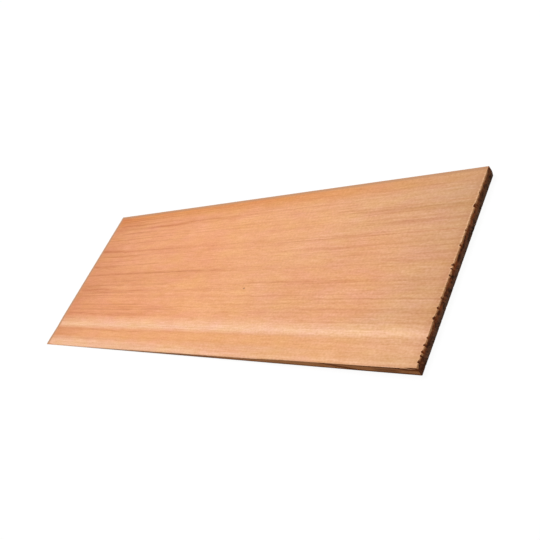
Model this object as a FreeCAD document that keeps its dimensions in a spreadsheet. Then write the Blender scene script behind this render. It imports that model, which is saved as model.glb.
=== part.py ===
import FreeCAD
import Part
import Sketcher
import os

# Taper-sawn cedar shingle, one piece of stock lying on its flat back.
# X runs from the thin tip to the thick butt, Y across the width, Z up from the back.
# The origin is at the middle of the back, and all sizes are in millimetres.

NODE = "shingle"

# Every driving size: name, value and what it measures.
SIZES = [
    ("shingle_length", 610.0, "tip to butt, the 24 inch grade"),
    ("shingle_width", 224.0, "long edge to long edge"),
    ("butt_thickness", 11.4, "weather face above the back at the butt"),
    ("tip_thickness", 0.9, "weather face above the back at the tip"),
    ("hollow_depth", 0.5, "weather face down to the bottom of the hollow"),
    ("hollow_place", 27.0, "near long edge to the bottom of the hollow"),
    ("hollow_head_run", 16.0, "width of the rounded shoulder above the hollow"),
    ("hollow_foot_run", 7.0, "width of the hollow's own far flank"),
    ("lift_run", 7.0, "width of the hollow's own near flank"),
    ("roll_rise", 0.2, "bottom of the hollow up to the crest of the roll"),
    ("roll_place", 12.0, "near long edge to the crest of the roll"),
    ("edge_drop", 0.12, "crest of the roll down to the near arris"),
    ("bevel_tip_drop", 0.2, "near arris down to the foot of the bevel at the tip"),
    ("bevel_drop", 1.4, "near arris down to the foot of the bevel where it is deepest"),
    ("bevel_width", 14.0, "width of the bevel where it is deepest"),
    ("bevel_length", 405.0, "tip to where the bevel is deepest"),
    ("bevel_runout", 40.0, "from there towards the butt, the length in which the bevel ends"),
    ("far_corner_radius", 0.8, "eased upright corner where the butt meets the far edge"),
    ("near_corner_radius", 0.8, "eased upright corner where the butt meets the near edge"),
]


def make_sheet(document):
    """Write every driving size into a sheet and give each cell its name."""
    sheet = document.addObject("Spreadsheet::Sheet", "dimensions")
    for row, (name, value, meaning) in enumerate(SIZES, start=1):
        sheet.set("A%d" % row, str(value))
        sheet.set("B%d" % row, meaning)
        sheet.setAlias("A%d" % row, name)
    document.recompute()
    return sheet


def origin_plane(body, role):
    """Return the body's own origin plane with this role."""
    for feature in body.Origin.OriginFeatures:
        if feature.Role == role:
            return feature
    raise RuntimeError("origin plane %s is missing" % role)


def bind(sketch, constraint, name, expression):
    """Add a named driving constraint and tie it to an expression."""
    index = sketch.addConstraint(constraint)
    sketch.renameConstraint(index, name)
    sketch.setExpression("Constraints." + name, expression)


def arc_between(start, end, centre):
    """Return the counter-clockwise arc from start to end about centre."""
    radius = start.distanceToPoint(centre)
    circle = Part.Circle(centre, FreeCAD.Vector(0, 0, 1), radius)
    return Part.ArcOfCircle(circle, circle.parameter(start), circle.parameter(end))


def point(across, height):
    """Return a sketch point."""
    return FreeCAD.Vector(across, height, 0)


def make_section(body, sheet):
    """Draw the sawn cross-section at the butt: flat face, hollow, roll and square sides."""
    sketch = body.newObject("Sketcher::SketchObject", "butt_section")
    sketch.AttachmentSupport = (origin_plane(body, "YZ_Plane"), [""])
    sketch.MapMode = "FlatFace"
    sketch.setExpression("AttachmentOffset.Base.z", "dimensions.shingle_length / 2")

    # Starting places for the solver, from the same sizes that drive the sketch.
    near = -sheet.shingle_width / 2
    far = sheet.shingle_width / 2
    face = sheet.butt_thickness
    bottom = -sheet.butt_thickness
    hollow_height = face - sheet.hollow_depth
    crest_height = hollow_height + sheet.roll_rise
    arris_height = crest_height - sheet.edge_drop
    hollow_at = near + sheet.hollow_place
    bend_at = hollow_at + sheet.hollow_foot_run
    shoulder_at = bend_at + sheet.hollow_head_run
    lift_at = hollow_at - sheet.lift_run
    crest_at = near + sheet.roll_place
    fall = sheet.hollow_depth / (sheet.hollow_head_run + sheet.hollow_foot_run)
    bend_height = hollow_height + sheet.hollow_foot_run * fall
    lift_height = hollow_height + sheet.roll_rise * sheet.lift_run / (hollow_at - crest_at)

    def radius(run, drop):
        return (run * run + drop * drop) / (2 * drop)

    head_radius = radius(sheet.hollow_head_run, face - bend_height)
    foot_radius = radius(sheet.hollow_foot_run, bend_height - hollow_height)
    lift_radius = radius(sheet.lift_run, lift_height - hollow_height)
    crest_radius = radius(lift_at - crest_at, crest_height - lift_height)
    edge_radius = radius(sheet.roll_place, sheet.edge_drop)

    shoulder = point(shoulder_at, face)
    bend = point(bend_at, bend_height)
    hollow = point(hollow_at, hollow_height)
    lift = point(lift_at, lift_height)
    crest = point(crest_at, crest_height)
    arris = point(near, arris_height)

    pieces = [
        Part.LineSegment(point(near, bottom), point(far, bottom)),
        Part.LineSegment(point(far, bottom), point(far, face)),
        Part.LineSegment(point(far, face), shoulder),
        arc_between(shoulder, bend, point(shoulder_at, face - head_radius)),
        arc_between(hollow, bend, point(hollow_at, hollow_height + foot_radius)),
        arc_between(lift, hollow, point(hollow_at, hollow_height + lift_radius)),
        arc_between(lift, crest, point(crest_at, crest_height - crest_radius)),
        arc_between(crest, arris, point(crest_at, crest_height - edge_radius)),
        Part.LineSegment(arris, point(near, bottom)),
    ]
    sketch.addGeometry(pieces, False)
    back, far_side, weather, head, foot, rise, roll, edge, near_side = range(len(pieces))
    start, end, middle = 1, 2, 3

    # Closed outline with smooth joins along the hollow and the roll.
    add = sketch.addConstraint
    add(Sketcher.Constraint("Coincident", back, end, far_side, start))
    add(Sketcher.Constraint("Coincident", far_side, end, weather, start))
    add(Sketcher.Constraint("Tangent", weather, end, head, start))
    add(Sketcher.Constraint("Tangent", head, end, foot, end))
    add(Sketcher.Constraint("Tangent", foot, start, rise, end))
    add(Sketcher.Constraint("Tangent", rise, start, roll, start))
    add(Sketcher.Constraint("Tangent", roll, end, edge, start))
    add(Sketcher.Constraint("Coincident", edge, end, near_side, start))
    add(Sketcher.Constraint("Coincident", near_side, end, back, start))
    add(Sketcher.Constraint("Vertical", far_side))
    add(Sketcher.Constraint("Horizontal", weather))
    add(Sketcher.Constraint("Vertical", near_side))
    add(Sketcher.Constraint("Symmetric", back, start, back, end, -2))
    # The hollow's bottom and the roll's crest are level, so their arcs centre straight above and below.
    add(Sketcher.Constraint("Vertical", foot, start, foot, middle))
    add(Sketcher.Constraint("Vertical", roll, end, roll, middle))

    def across(name, piece, spot, other, other_spot, value, rule):
        bind(sketch, Sketcher.Constraint("DistanceX", piece, spot, other, other_spot, value), name, rule)

    def upward(name, piece, spot, other, other_spot, value, rule):
        bind(sketch, Sketcher.Constraint("DistanceY", piece, spot, other, other_spot, value), name, rule)

    across("width", back, start, back, end, sheet.shingle_width, "dimensions.shingle_width")
    # One more butt thickness of stock hangs below until the back is sawn flat.
    upward("spare", back, start, -1, 1, sheet.butt_thickness, "dimensions.butt_thickness")
    upward("butt", -1, 1, weather, start, face, "dimensions.butt_thickness")
    across("hollow_place", back, start, foot, start, sheet.hollow_place, "dimensions.hollow_place")
    across("foot_run", foot, start, foot, end, sheet.hollow_foot_run, "dimensions.hollow_foot_run")
    across("head_run", head, end, head, start, sheet.hollow_head_run, "dimensions.hollow_head_run")
    upward("hollow_depth", foot, start, weather, end, sheet.hollow_depth, "dimensions.hollow_depth")
    across("lift_run", rise, start, rise, end, sheet.lift_run, "dimensions.lift_run")
    across("roll_place", back, start, roll, end, sheet.roll_place, "dimensions.roll_place")
    upward("roll_rise", foot, start, roll, end, sheet.roll_rise, "dimensions.roll_rise")
    upward("edge_drop", edge, end, edge, start, sheet.edge_drop, "dimensions.edge_drop")
    return sketch


def make_stock(body, section):
    """Push the section from the butt to the tip, down the slope of the weather face."""
    stock = body.newObject("PartDesign::Pad", "sloping_stock")
    stock.Profile = section
    stock.UseCustomVector = True
    stock.AlongSketchNormal = True
    stock.setExpression("Length", "dimensions.shingle_length")
    stock.Direction = FreeCAD.Vector(-1, 0, 0)
    stock.setExpression("Direction.x", "-dimensions.shingle_length")
    stock.setExpression("Direction.z", "dimensions.tip_thickness - dimensions.butt_thickness")
    return stock


def make_back(body, sheet):
    """Saw the back flat: take away everything below the floor level."""
    outline = body.newObject("Sketcher::SketchObject", "back_outline")
    outline.AttachmentSupport = (origin_plane(body, "XY_Plane"), [""])
    outline.MapMode = "FlatFace"
    # The cut reaches one butt thickness past the stock on every side and past its lowest point.
    half_x = sheet.shingle_length / 2 + sheet.butt_thickness
    half_y = sheet.shingle_width / 2 + sheet.butt_thickness
    corners = [point(-half_x, -half_y), point(half_x, -half_y), point(half_x, half_y), point(-half_x, half_y)]
    for number in range(4):
        outline.addGeometry(Part.LineSegment(corners[number], corners[(number + 1) % 4]), False)
    for number in range(4):
        outline.addConstraint(Sketcher.Constraint("Coincident", number, 2, (number + 1) % 4, 1))
    outline.addConstraint(Sketcher.Constraint("Horizontal", 0))
    outline.addConstraint(Sketcher.Constraint("Vertical", 1))
    outline.addConstraint(Sketcher.Constraint("Horizontal", 2))
    outline.addConstraint(Sketcher.Constraint("Vertical", 3))
    outline.addConstraint(Sketcher.Constraint("Symmetric", 0, 1, 2, 1, -1, 1))
    length_rule = "dimensions.shingle_length + 2 * dimensions.butt_thickness"
    width_rule = "dimensions.shingle_width + 2 * dimensions.butt_thickness"
    bind(outline, Sketcher.Constraint("DistanceX", 0, 1, 0, 2, 2 * half_x), "length", length_rule)
    bind(outline, Sketcher.Constraint("DistanceY", 1, 1, 1, 2, 2 * half_y), "width", width_rule)

    sawn = body.newObject("PartDesign::Pocket", "sawn_back")
    sawn.Profile = outline
    sawn.setExpression("Length", "3 * dimensions.butt_thickness")
    return sawn


def make_bevel(body, sheet):
    """Take the worn near arris off in one long flat slant, deepest at two thirds of the length."""
    outline = body.newObject("Sketcher::SketchObject", "bevel_outline")
    outline.AttachmentSupport = (origin_plane(body, "XZ_Plane"), [""])
    outline.MapMode = "FlatFace"
    outline.setExpression("AttachmentOffset.Base.z", "dimensions.shingle_width / 2")

    # The foot line runs from past the tip to its deepest place, then climbs out above the weather face.
    slope = (sheet.butt_thickness - sheet.tip_thickness) / sheet.shingle_length
    arris_drop = sheet.hollow_depth - sheet.roll_rise + sheet.edge_drop
    start_x = -sheet.shingle_length / 2 - sheet.bevel_runout
    deep_x = start_x + sheet.bevel_runout + sheet.bevel_length
    out_x = deep_x + 2 * sheet.bevel_runout
    deep_z = sheet.tip_thickness + slope * sheet.bevel_length - arris_drop - sheet.bevel_drop
    climb = slope * sheet.bevel_length - sheet.bevel_drop + sheet.bevel_tip_drop
    start_z = deep_z - climb * (sheet.bevel_length + sheet.bevel_runout) / sheet.bevel_length
    out_z = deep_z + 2 * (slope * sheet.bevel_runout + sheet.bevel_drop)
    above_z = out_z + sheet.butt_thickness
    corners = [point(start_x, start_z), point(deep_x, deep_z), point(out_x, out_z), point(out_x, above_z),
               point(start_x, above_z)]
    count = len(corners)
    for number in range(count):
        outline.addGeometry(Part.LineSegment(corners[number], corners[(number + 1) % count]), False)
    for number in range(count):
        outline.addConstraint(Sketcher.Constraint("Coincident", number, 2, (number + 1) % count, 1))
    outline.addConstraint(Sketcher.Constraint("Vertical", 2))
    outline.addConstraint(Sketcher.Constraint("Horizontal", 3))
    outline.addConstraint(Sketcher.Constraint("Vertical", 4))

    slope_rule = "(dimensions.butt_thickness - dimensions.tip_thickness) / dimensions.shingle_length"
    drop_rule = ("(dimensions.hollow_depth - dimensions.roll_rise + dimensions.edge_drop"
                 " + dimensions.bevel_drop)")
    deep_rule = "dimensions.tip_thickness + %s * dimensions.bevel_length - %s" % (slope_rule, drop_rule)
    climb_rule = ("(%s * dimensions.bevel_length - dimensions.bevel_drop + dimensions.bevel_tip_drop)"
                  " * (1 + dimensions.bevel_runout / dimensions.bevel_length)" % slope_rule)
    out_rule = "2 * (%s * dimensions.bevel_runout + dimensions.bevel_drop)" % slope_rule
    start_rule = "dimensions.shingle_length / 2 + dimensions.bevel_runout"
    run_rule = "dimensions.bevel_length + dimensions.bevel_runout"
    rules = [
        ("start", "DistanceX", 0, 1, -1, 1, -start_x, start_rule),
        ("run", "DistanceX", 0, 1, 0, 2, deep_x - start_x, run_rule),
        ("out_run", "DistanceX", 1, 1, 1, 2, out_x - deep_x, "2 * dimensions.bevel_runout"),
        ("deep", "DistanceY", -1, 1, 0, 2, deep_z, deep_rule),
        ("climb", "DistanceY", 0, 1, 0, 2, deep_z - start_z, climb_rule),
        ("out_climb", "DistanceY", 1, 1, 1, 2, out_z - deep_z, out_rule),
        ("head_room", "DistanceY", 2, 1, 2, 2, sheet.butt_thickness, "dimensions.butt_thickness"),
    ]
    for name, kind, piece, spot, other, other_spot, value, rule in rules:
        bind(outline, Sketcher.Constraint(kind, piece, spot, other, other_spot, value), name, rule)

    bevel = body.newObject("PartDesign::Pocket", "near_bevel")
    bevel.Profile = outline
    bevel.UseCustomVector = True
    bevel.AlongSketchNormal = True
    bevel.setExpression("Length", "2 * dimensions.bevel_width")
    bevel.Direction = FreeCAD.Vector(0, 1, 0)
    bevel.setExpression("Direction.y", "dimensions.bevel_width")
    bevel.setExpression("Direction.z", "dimensions.bevel_drop")
    return bevel


def upright_edge(shape, along, across):
    """Return the name of the upright edge nearest to this corner of the plan."""
    best = None
    for number, line in enumerate(shape.Edges, start=1):
        box = line.BoundBox
        if box.XLength > 1e-4 or box.YLength > 1e-4:
            continue
        distance = abs(box.Center.x - along) + abs(box.Center.y - across)
        if best is None or distance < best[0]:
            best = (distance, "Edge%d" % number)
    return best[1]


def make_corner(document, body, base, name, across, cell):
    """Round one upright butt corner with the radius in the named cell."""
    document.recompute()
    along = document.dimensions.shingle_length / 2
    corner = body.newObject("PartDesign::Fillet", name)
    corner.Base = (base, [upright_edge(base.Shape, along, across)])
    corner.setExpression("Radius", "dimensions." + cell)
    return corner


def check(document):
    """Stop the build where a feature failed or gave no valid shape."""
    for item in document.Objects:
        if "Invalid" in item.State or "Error" in item.State:
            raise RuntimeError("%s failed: %s" % (item.Name, item.State))
        if item.isDerivedFrom("PartDesign::Feature") or item.isDerivedFrom("PartDesign::Body"):
            if item.Shape.isNull() or not item.Shape.isValid():
                raise RuntimeError("%s has no valid shape" % item.Name)


def main():
    """Build the shingle from the sheet and write its solid."""
    document = FreeCAD.newDocument("wood_shingle")
    sheet = make_sheet(document)
    body = document.addObject("PartDesign::Body", NODE)
    body.Label = NODE
    section = make_section(body, sheet)
    document.recompute()
    make_stock(body, section)
    document.recompute()
    make_back(body, sheet)
    document.recompute()
    bevel = make_bevel(body, sheet)
    far_corner = make_corner(document, body, bevel, "far_corner", sheet.shingle_width / 2, "far_corner_radius")
    make_corner(document, body, far_corner, "near_corner", -sheet.shingle_width / 2, "near_corner_radius")
    document.recompute()
    check(document)

    os.makedirs("parts", exist_ok=True)
    body.Shape.exportStep("parts/%s.step" % NODE)
    box = body.Shape.BoundBox
    print(NODE, "box", box.XMin, box.XMax, box.YMin, box.YMax, box.ZMin, box.ZMax)
    print(NODE, "solids", len(body.Shape.Solids), "volume", body.Shape.Volume)


main()
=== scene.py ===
"""A taper-sawn cedar shingle lying on its back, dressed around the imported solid."""

import logging
import math
from dataclasses import dataclass, fields
from enum import Enum
from typing import Any, Callable, Union

import bmesh
import bpy
from bpy.types import ID, Material, Node, NodeSocket, NodeTree, Object
from mathutils import Matrix, Vector


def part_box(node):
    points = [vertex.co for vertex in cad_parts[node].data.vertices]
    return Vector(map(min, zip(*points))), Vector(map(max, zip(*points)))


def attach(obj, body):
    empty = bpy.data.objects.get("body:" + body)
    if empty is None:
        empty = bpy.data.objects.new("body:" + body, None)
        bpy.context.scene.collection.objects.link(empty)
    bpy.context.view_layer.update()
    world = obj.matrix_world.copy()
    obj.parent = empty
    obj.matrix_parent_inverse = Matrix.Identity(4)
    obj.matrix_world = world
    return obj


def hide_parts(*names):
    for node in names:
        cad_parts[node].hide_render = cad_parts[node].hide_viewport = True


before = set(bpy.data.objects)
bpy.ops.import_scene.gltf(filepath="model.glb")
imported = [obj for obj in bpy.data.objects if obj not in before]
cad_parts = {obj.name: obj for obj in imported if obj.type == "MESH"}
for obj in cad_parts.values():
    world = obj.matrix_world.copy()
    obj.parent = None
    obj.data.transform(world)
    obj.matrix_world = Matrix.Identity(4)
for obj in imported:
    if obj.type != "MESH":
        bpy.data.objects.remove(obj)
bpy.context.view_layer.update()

LOG = logging.getLogger("shingle")
NODE = "shingle"
BODY = "root"
MM = 0.001
BODY_SHARP = math.radians(38.0)
SLIVER_SHARP = math.radians(50.0)

# Names under which the body's mesh keeps a value for each face or point.
BLANK = "blank"
TORN = "torn"
CHIP = "chip"

FLOAT = "NodeSocketFloat"
INTEGER = "NodeSocketInt"
MATERIAL = "NodeSocketMaterial"
GEOMETRY = "NodeSocketGeometry"

Pair = tuple[float, float]
Factor = tuple[float, float, float]
Colour = tuple[float, float, float, float]
WHITE: Colour = (1.0, 1.0, 1.0, 1.0)


def tint(red: float, green: float, blue: float) -> Colour:
    """Turn a screen colour into the linear colour that a shader takes.

    Args:
        red: Red, 0 to 255.
        green: Green, 0 to 255.
        blue: Blue, 0 to 255.

    Returns:
        Linear red, green and blue, with alpha 1.
    """
    def straighten(level: float) -> float:
        """Undo the screen curve for one channel."""
        share = level / 255.0
        return share / 12.92 if share <= 0.04045 else ((share + 0.055) / 1.055) ** 2.4

    return straighten(red), straighten(green), straighten(blue), 1.0


def add_object(name: str, data: ID) -> Object:
    """Put a new object into the scene, at the origin.

    Args:
        name: The object's name.
        data: Its mesh, lamp or camera.

    Returns:
        The object.
    """
    made = bpy.data.objects.new(name, data)
    bpy.context.scene.collection.objects.link(made)
    return made


def named_sizes(*pieces: Any) -> dict[str, float]:
    """Name each plain size of some pieces as an input of a shape rule.

    Args:
        *pieces: Dataclasses with sizes among their fields.

    Returns:
        Input name and value, "Bevel Width" for bevel_width.
    """
    values = {field.name: getattr(piece, field.name) for piece in pieces for field in fields(piece)}
    return {name.replace("_", " ").title(): value for name, value in values.items()
            if isinstance(value, (int, float))}


class Cut(Enum):
    """Which cut of the wood a face of the blank shows."""

    FACE = "cedar_sawn_face"
    EDGE = "cedar_long_edge"
    END = "cedar_end_grain"


def sign(operation: str, swapped: bool = False) -> Callable[["Wire", "Number"], "Wire"]:
    """Make the method behind one arithmetic sign of a wire.

    Args:
        operation: The Math node's operation.
        swapped: The wire stands on the right.

    Returns:
        The method.
    """
    def method(self: "Wire", other: "Number") -> "Wire":
        """Add the Math node to the wire's tree."""
        return self.web.math(operation, *((other, self) if swapped else (self, other)))

    return method


class Wire:
    """The output of a node, with arithmetic that adds Math nodes to its tree."""

    __add__ = sign("ADD")
    __sub__ = sign("SUBTRACT")
    __rsub__ = sign("SUBTRACT", swapped=True)
    __mul__ = sign("MULTIPLY")
    __truediv__ = sign("DIVIDE")
    __pow__ = sign("POWER")

    def __init__(self, web: "NodeWeb", socket: NodeSocket) -> None:
        """Remember the tree's builder and the socket."""
        self.web = web
        self.socket = socket


Number = Union[float, Wire]


class NodeWeb:
    """Places nodes in one tree and joins them."""

    def __init__(self, tree: NodeTree) -> None:
        """Remember the tree."""
        self.tree = tree

    def node(self, kind: str, **settings: Any) -> Node:
        """Add a node.

        Args:
            kind: The node's type name.
            **settings: Properties to set on it.

        Returns:
            The new node.
        """
        made = self.tree.nodes.new(kind)
        for key, value in settings.items():
            setattr(made, key, value)
        return made

    def join(self, value: Any, socket: NodeSocket) -> None:
        """Feed a socket.

        Args:
            value: A wire or a plain value.
            socket: The input that takes it.
        """
        if isinstance(value, Wire):
            self.tree.links.new(value.socket, socket)
        else:
            socket.default_value = value

    def wire(self, node: Node, output: Union[int, str] = 0) -> Wire:
        """Take one output of a node."""
        return Wire(self, node.outputs[output])

    def apply(self, kind: str, inputs: dict[Union[int, str], Any], output: Union[int, str] = 0,
              **settings: Any) -> Wire:
        """Add a node, feed it and take one output.

        Args:
            kind: The node's type name.
            inputs: Socket name or number, and what goes into it.
            output: The output to take.
            **settings: Properties to set on the node.

        Returns:
            The chosen output.
        """
        made = self.node(kind, **settings)
        for key, value in inputs.items():
            self.join(value, made.inputs[key])
        return self.wire(made, output)

    def sockets(self, inputs: dict[str, str], outputs: dict[str, str]) -> dict[str, Wire]:
        """Give the tree its named sockets.

        Args:
            inputs: Name and socket type of each input.
            outputs: Name and socket type of each output.

        Returns:
            Each input's wire by name.
        """
        for direction, named in (("INPUT", inputs), ("OUTPUT", outputs)):
            for name, kind in named.items():
                self.tree.interface.new_socket(name=name, in_out=direction, socket_type=kind)
        source = self.node("NodeGroupInput")
        return {name: self.wire(source, name) for name in inputs}

    def put_out(self, *values: Wire) -> None:
        """Feed the tree's outputs.

        Args:
            *values: One wire for each output, in order.
        """
        sink = self.node("NodeGroupOutput")
        for value, socket in zip(values, sink.inputs):
            self.join(value, socket)

    def math(self, operation: str, *values: Number) -> Wire:
        """Add a Math node with these values."""
        return self.apply("ShaderNodeMath", dict(enumerate(values)), operation=operation)

    def ramp(self, value: Number, low: Number, high: Number, start: Number = 0.0, end: Number = 1.0,
             smooth: bool = False) -> Wire:
        """Map a value from one range to another and hold it at both ends.

        Args:
            value: What is mapped.
            low: Value that gives start.
            high: Value that gives end.
            start: Result at low.
            end: Result at high.
            smooth: Ease in and out.

        Returns:
            The mapped value.
        """
        style = "SMOOTHSTEP" if smooth else "LINEAR"
        inputs = {0: value, 1: low, 2: high, 3: start, 4: end}
        return self.apply("ShaderNodeMapRange", inputs, interpolation_type=style, clamp=True)

    def band(self, value: Number, low: float, high: float, fade: float) -> Wire:
        """Mask that is 1 between two values and fades out over a width beyond each."""
        rise = self.ramp(value, low - fade, low, smooth=True)
        return rise * self.ramp(value, high, high + fade, 1.0, 0.0, smooth=True)

    def combine(self, first: Number, second: Number, third: Number) -> Wire:
        """Make a vector of three values."""
        return self.apply("ShaderNodeCombineXYZ", {0: first, 1: second, 2: third})

    def split(self, vector: Wire) -> list[Wire]:
        """Take a vector's three values.

        Args:
            vector: The vector.

        Returns:
            The values in order.
        """
        made = self.node("ShaderNodeSeparateXYZ")
        self.join(vector, made.inputs[0])
        return [self.wire(made, number) for number in range(3)]

    def noise(self, first: Number, second: Number, third: Number, detail: float = 0.0,
              rough: float = 0.5) -> Wire:
        """Smooth noise from 0 to 1 at a place in noise space, one unit per lump.

        Args:
            first: The place's first value, already scaled.
            second: Its second value.
            third: Its third value.
            detail: Finer layers on top.
            rough: How strong the finer layers are.

        Returns:
            The noise value.
        """
        place = self.combine(first, second, third)
        inputs = {"Vector": place, "Scale": 1.0, "Detail": detail, "Roughness": rough}
        return self.apply("ShaderNodeTexNoise", inputs, "Fac")

    def blend(self, share: Number, first: Any, second: Any, style: str = "MIX") -> Wire:
        """Mix two colours, the first at a share of 0 and the second at 1."""
        inputs = {0: share, 6: first, 7: second}
        return self.apply("ShaderNodeMix", inputs, 2, data_type="RGBA", blend_type=style, clamp_factor=True)

    def times(self, first: Any, second: Any) -> Wire:
        """Multiply two colours."""
        return self.blend(1.0, first, second, "MULTIPLY")

    def shade(self, colour: Wire, share: Number, dark: Factor, light: Factor) -> Wire:
        """Multiply a colour by something between a dark factor, at 0, and a light one, at 1."""
        return self.times(colour, self.blend(share, (*dark, 1.0), (*light, 1.0)))


@dataclass(frozen=True)
class WoodGroups:
    """Shader node groups that every cut of the wood shares."""

    lines: NodeTree
    mottle: NodeTree
    streak: NodeTree
    kerf: NodeTree

    @classmethod
    def make(cls) -> "WoodGroups":
        """Build the groups once."""
        return cls(cls.make_lines(), cls.make_mottle(), cls.make_streak(), cls.make_kerf())

    @staticmethod
    def start(name: str, inputs: tuple[str, ...], outputs: tuple[str, ...]) -> tuple[NodeWeb, list[Wire]]:
        """Begin a shader group whose sockets are all plain values.

        Args:
            name: The group's name.
            inputs: Names of its inputs.
            outputs: Names of its outputs.

        Returns:
            The group's builder and its inputs in order.
        """
        web = NodeWeb(bpy.data.node_groups.new(name, "ShaderNodeTree"))
        given = web.sockets(dict.fromkeys(inputs, FLOAT), dict.fromkeys(outputs, FLOAT))
        return web, list(given.values())

    @classmethod
    def make_lines(cls) -> NodeTree:
        """Growth lines along the grain: uneven, wandering, each fading in and out.

        Returns:
            The group: Across, Along, Spacing and Reach in metres; Dark is a mask and Tone a value.
        """
        names = ("Across", "Along", "Spacing", "Reach", "Shift")
        web, (across, along, spacing, reach, shift) = cls.start("grain_lines", names, ("Dark", "Tone"))
        drift = web.noise(across * 9.0 + shift, along * 4.0, shift, 2.0)
        ripple = web.noise(across * 25.0, along * 38.0, shift + 5.0, 1.0)
        count = across / spacing + (drift - 0.5) * 1.4 + (ripple - 0.5) * 0.5 + shift
        tone = web.noise(count, along / reach, shift, 2.0, 0.55)
        web.put_out(web.ramp(tone, 0.52, 0.73, smooth=True), tone)
        return web.tree

    @classmethod
    def make_mottle(cls) -> NodeTree:
        """Uneven colour of the wood, from hand-sized patches down to single fibres.

        Returns:
            The group: Across and Along in metres, and six values about 0.5.
        """
        # For each output, lumps to the metre across and along the grain, finer layers and their strength.
        lumps = {
            "Patch": (15.0, 5.0, 1.0, 0.5),
            "Blotch": (48.0, 13.0, 3.0, 0.6),
            "Fleck": (600.0, 58.0, 2.0, 0.55),
            "Fibre": (1000.0, 25.0, 2.0, 0.6),
            "Speckle": (520.0, 340.0, 2.0, 0.5),
            "Hue": (70.0, 22.0, 2.0, 0.55),
        }
        web, (across, along, shift) = cls.start("wood_mottle", ("Across", "Along", "Shift"), tuple(lumps))
        web.put_out(*[web.noise(across * wide, along * long, shift + number, detail, rough)
                      for number, (wide, long, detail, rough) in enumerate(lumps.values())])
        return web.tree

    @classmethod
    def make_streak(cls) -> NodeTree:
        """One soft streak along the grain, with a start and an end.

        Returns:
            The group: every size in metres, and a mask from 0 to Strength.
        """
        names = ("Across", "Along", "Place", "Half", "Start", "End", "Fade", "Strength")
        web, given = cls.start("grain_streak", names, ("Mask",))
        across, along, place, half, start, end, fade, strength = given
        wobble = (web.noise(along * 11.0, place * 40.0, 0.0, 2.0) - 0.5) * half * 1.4
        near = web.math("ABSOLUTE", across + wobble - place) / half
        middle = web.ramp(near, 0.0, 1.0, 1.0, 0.0, smooth=True)
        window = web.ramp(along, start - fade, start + fade, smooth=True)
        window = window * web.ramp(along, end - fade, end + fade, 1.0, 0.0, smooth=True)
        broken = web.ramp(web.noise(along * 24.0, place * 90.0, 4.0, 1.0), 0.3, 0.6, 0.35, 1.0)
        web.put_out(middle * window * broken * strength)
        return web.tree

    @classmethod
    def make_kerf(cls) -> NodeTree:
        """Marks of the saw: fine uneven ridges square to the feed.

        Returns:
            The group: Along, Across and Pitch in metres, and a height from 0 to 1.
        """
        web, (along, across, pitch) = cls.start("saw_marks", ("Along", "Across", "Pitch"), ("Height",))
        bend = (web.noise(across * 12.0, along * 6.0, 3.0, 1.0) - 0.5) * 1.6
        tooth = web.math("SINE", (along / pitch + bend) * math.tau) * 0.5 + 0.5
        patchy = web.noise(along * 30.0, across * 30.0, 8.0, 2.0)
        web.put_out(tooth * web.ramp(patchy, 0.35, 0.7))
        return web.tree


@dataclass(frozen=True)
class Streak:
    """One dark line of the face, in millimetres from the near edge and from the tip."""

    place: float
    half: float
    start: float
    end: float
    strength: float


@dataclass(frozen=True)
class WoodFinish:
    """What the cuts of the wood have in common."""

    groups: WoodGroups
    length: float
    width: float

    def begin(self, name: str) -> tuple[Material, NodeWeb, tuple[Wire, Wire, Wire]]:
        """Start a material.

        Args:
            name: The material's name.

        Returns:
            The material, its builder, and metres from the tip, from the near edge and from the floor.
        """
        material = bpy.data.materials.new(name)
        material.use_nodes = True
        web = NodeWeb(material.node_tree)
        along, across, up = web.split(web.wire(web.node("ShaderNodeTexCoord"), "Object"))
        return material, web, (along + self.length / 2, across + self.width / 2, up)

    @staticmethod
    def group(web: NodeWeb, tree: NodeTree, **inputs: Number) -> list[Wire]:
        """Place a shared group.

        Args:
            web: The material's builder.
            tree: The group.
            **inputs: What goes into its inputs, by name.

        Returns:
            Its outputs in order.
        """
        made = web.node("ShaderNodeGroup", node_tree=tree)
        for key, value in inputs.items():
            web.join(value, made.inputs[key])
        return [web.wire(made, number) for number in range(len(made.outputs))]

    @staticmethod
    def held(web: NodeWeb, name: str) -> Wire:
        """Metres that the mesh holds under a name."""
        return web.wire(web.node("ShaderNodeAttribute", attribute_name=name), "Fac")

    @staticmethod
    def close(web: NodeWeb, colour: Wire, rough: Wire, height: Wire, strength: float, depth: float,
              gloss: float) -> None:
        """Feed a material's shader.

        Args:
            web: The material's builder.
            colour: The wood's colour.
            rough: The roughness.
            height: The fine relief.
            strength: Strength of the relief.
            depth: Depth of the relief, in metres.
            gloss: Specular level.
        """
        shader = web.tree.nodes["Principled BSDF"]
        bump = web.apply("ShaderNodeBump", {"Strength": strength, "Distance": depth, "Height": height})
        for name, value in (("Base Color", colour), ("Roughness", rough), ("Normal", bump)):
            web.join(value, shader.inputs[name])
        shader.inputs["Specular IOR Level"].default_value = gloss


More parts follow.
